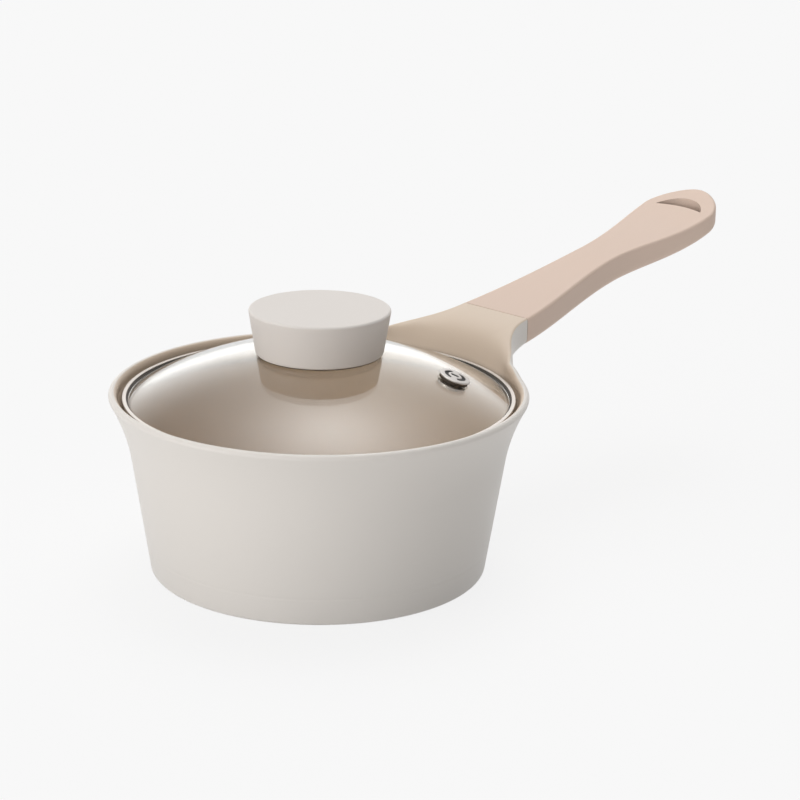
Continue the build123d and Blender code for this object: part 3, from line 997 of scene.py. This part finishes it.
def coated(name, colour, roughness, grain, mottle=plain_mottle, second=None, gap=None):
    """A painted or moulded surface: soft mottling, fine grain and a slight orange peel.

    A second colour lies where the mesh is inside. A gap is the reach and the power of the painted
    shade that darkens the colour in narrow gaps.
    """
    material, net = new_material(name)
    cloud = net.noise(cloud_scale, cloud_detail)
    peel = net.noise(grain, peel_detail)
    tone = mottled(net, cloud, colour, mottle)
    if second:
        inner = mottled(net, cloud, second, mottle)
        # painted shade: the inside's colour darkens in narrow gaps, such as the seat of the lid
        inner = net.mix_colours(net.painted_gap_shade(*gap, False), shade(second, inner_gap_painted_shade), inner)
        tone = net.mix_colours(net.attribute("inside"), tone, inner)
    elif gap:
        # painted shade: the colour darkens in the piece's own narrow gaps
        tone = net.mix_colours(net.painted_gap_shade(*gap, True), shade(colour, own_gap_painted_shade), tone)
    grains = net.maths("MULTIPLY", cloud, peel)
    rough = net.spread(grains, roughness - coat_smoother, roughness + coat_rougher, *coat_noise_range)
    relief = net.add("ShaderNodeBump", Strength=peel_strength, Distance=peel_height, Height=peel)
    shader = net.add(
        "ShaderNodeBsdfPrincipled", Base_Color=tone, Roughness=rough, Normal=relief.outputs["Normal"]
    )
    finish_material(net, shader.outputs["BSDF"])
    return material


def spun_metal(name, colour, roughness, sunk=None):
    """Steel or brass finished on a lathe, with fine rings round its axis.

    It is painted dark where the mesh's attribute of the name sunk says so: painted shade, as inside a
    slot.
    """
    material, net = new_material(name)
    parts = net.add("ShaderNodeSeparateXYZ", Vector=net.place())
    flat = net.add("ShaderNodeCombineXYZ", X=parts.outputs["X"], Y=parts.outputs["Y"])
    radius = net.vector("LENGTH", flat.outputs["Vector"], output="Value")
    rings = net.add("ShaderNodeCombineXYZ", X=radius, Z=parts.outputs["Z"])
    turned = net.noise(ring_scale, ring_detail, rings.outputs["Vector"])
    smear = net.noise(smear_scale, smear_detail)
    tone = net.mix_colours(turned, *(shade(colour, share) for share in ring_tones))
    if sunk:
        # painted shade in the sunk slots
        tone = net.mix_colours(net.attribute(sunk), tone, shade(colour, slot_painted_shade))
    marks = net.maths("ADD", turned, smear)
    rough = net.spread(marks, roughness - metal_smoother, roughness + metal_rougher, *metal_noise_range)
    relief = net.add("ShaderNodeBump", Strength=ring_strength, Distance=ring_height, Height=turned)
    shader = net.add(
        "ShaderNodeBsdfPrincipled",
        Base_Color=tone,
        Metallic=1.0,
        Roughness=rough,
        Normal=relief.outputs["Normal"],
    )
    finish_material(net, shader.outputs["BSDF"])
    return material


def clear_glass(name):
    """Tempered glass with a faint tint, which lets the light of the studio through to the inside."""
    material, net = new_material(name)
    tint = net.mix_colours(net.noise(tint_scale, tint_detail), *glass_tints)
    shader = net.add(
        "ShaderNodeBsdfPrincipled",
        Base_Color=tint,
        Roughness=glass_roughness,
        IOR=glass_ior,
        Transmission_Weight=1.0,
    )
    through = net.add("ShaderNodeBsdfTransparent", Color=glass_light)
    path = net.add("ShaderNodeLightPath")
    lighting = net.maths("MAXIMUM", path.outputs["Is Shadow Ray"], path.outputs["Is Diffuse Ray"])
    finish_material(net, net.mix_shaders(lighting, shader.outputs["BSDF"], through.outputs["BSDF"]))
    return material


def make_looks():
    """Every material of the pan, by the record's slots, and the vent's own."""
    return {
        "cream_coat": coated(
            "cream_coat",
            (0.8, 0.755, 0.705),
            0.4,
            grain=1400,
            second=(0.735, 0.6, 0.472),
            # painted shade in the gap at the lid's seat and other narrow gaps
            gap=(2.2 * mm, 0.5),
        ),
        "base_steel": spun_metal("base_steel", (0.55, 0.54, 0.52), 0.35),
        # the grip's hang slot and hollows are painted darker, as painted shade
        "grip_plastic": coated("grip_plastic", (0.755, 0.585, 0.482), 0.55, grain=3000, gap=(9 * mm, 0.9)),
        "knob_plastic": coated("knob_plastic", (0.78, 0.73, 0.685), 0.5, grain=3000),
        "lid_glass": clear_glass("lid_glass"),
        "band_steel": spun_metal("band_steel", (0.68, 0.635, 0.59), 0.42),
        # its slots are painted nearly black, as painted shade
        "vent_steel": spun_metal("vent_steel", (0.6, 0.57, 0.545), 0.45, sunk="slot"),
        "fastener_steel": spun_metal("fastener_steel", (0.55, 0.55, 0.55), 0.35),
        "insert_brass": spun_metal("insert_brass", (0.6, 0.42, 0.18), 0.35),
        "dark_seal": coated("dark_seal", (0.045, 0.032, 0.022), 0.6, grain=2500, mottle=0.1),
    }


def lobe(net, direction, bearing, elevation, tightness, strength):
    """A soft round patch of light on the world around one direction."""
    turn = math.radians(bearing + view_bearing - 90)
    rise = math.radians(elevation)
    towards = (math.cos(turn) * math.cos(rise), math.sin(turn) * math.cos(rise), math.sin(rise))
    near = net.vector("DOT_PRODUCT", direction, towards, output="Value")
    power = net.maths("MULTIPLY_ADD", near, tightness, -tightness)
    return net.maths("MULTIPLY", net.maths("EXPONENT", power), strength)


def make_world():
    """A white studio: an even backdrop for what is seen, and soft patches of light."""
    world = bpy.data.worlds.new("studio")
    bpy.context.scene.world = world
    world.use_nodes = True
    net = Nodes(world.node_tree)
    direction = net.add("ShaderNodeTexCoord").outputs["Generated"]
    rise = net.add("ShaderNodeSeparateXYZ", Vector=direction).outputs["Z"]
    path = net.add("ShaderNodeLightPath")
    seen = path.outputs["Is Camera Ray"]
    mirrored = net.spread(rise, mirror_low, mirror_high, *mirror_range)
    extra = net.maths("SUBTRACT", mirrored, ambient)
    level = net.maths("MULTIPLY_ADD", net.seen_again(path), extra, ambient)
    for numbers in lobes.values():
        level = net.maths("ADD", level, lobe(net, direction, *numbers))
    unseen = net.maths("SUBTRACT", 1.0, seen)
    level = net.maths("MAXIMUM", net.maths("MULTIPLY", level, unseen), seen)
    glow = net.add("ShaderNodeBackground", Color=backdrop, Strength=level)
    output = net.add("ShaderNodeOutputWorld")
    net.tree.links.new(glow.outputs["Background"], output.inputs["Surface"])


def make_floor():
    """A pale floor that keeps a faint shadow, fades into the backdrop and glows as painted bounce light.
    """
    corners = [(-1, -1), (1, -1), (1, 1), (-1, 1)]
    mesh = bpy.data.meshes.new("floor")
    mesh.from_pydata([(x * floor_half, y * floor_half, 0) for x, y in corners], [], [(0, 1, 2, 3)])
    floor = bpy.data.objects.new("floor", mesh)
    bpy.context.scene.collection.objects.link(floor)
    floor.location.z = -floor_drop
    material, net = new_material("floor_white")
    path = net.add("ShaderNodeLightPath")
    seen = net.maths("MAXIMUM", path.outputs["Is Camera Ray"], net.seen_again(path))
    away = net.vector("LENGTH", net.place(), output="Value")
    # painted shadow: the floor's glow that lights the pan is dimmer near it
    bounce = net.spread(away, floor_bounce * painted_shadow_share, floor_bounce, base_radius, painted_shadow_reach)
    level = net.maths("MAXIMUM", bounce, seen)
    glow = net.add("ShaderNodeEmission", Color=floor_tone, Strength=level)
    matt = net.add("ShaderNodeBsdfDiffuse", Color=floor_paint)
    finish_material(net, net.mix_shaders(floor_share, glow.outputs["Emission"], matt.outputs["BSDF"]))
    mesh.materials.append(material)


def dress_solids(looks):
    """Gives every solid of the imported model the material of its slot."""
    for row in frame["record"]["subparts"]:
        mesh = frame["nodes"][row["node"]].data
        mesh.materials.clear()
        mesh.materials.append(looks[row["material_slot"]])


def add_pieces(looks):
    """Adds the finer pieces that stand for solids, each with its material."""
    for piece, look in (
        (pan_piece(), "cream_coat"),
        (glass_piece(), "lid_glass"),
        (band_piece(), "band_steel"),
        (seal_piece(), "dark_seal"),
        (vent_piece(), "vent_steel"),
        (gasket_piece(), "dark_seal"),
    ):
        piece.data.materials.append(looks[look])


make_camera()
make_world()
make_floor()
all_looks = make_looks()
dress_solids(all_looks)
add_pieces(all_looks)
bpy.context.scene.view_settings.view_transform = "Standard"
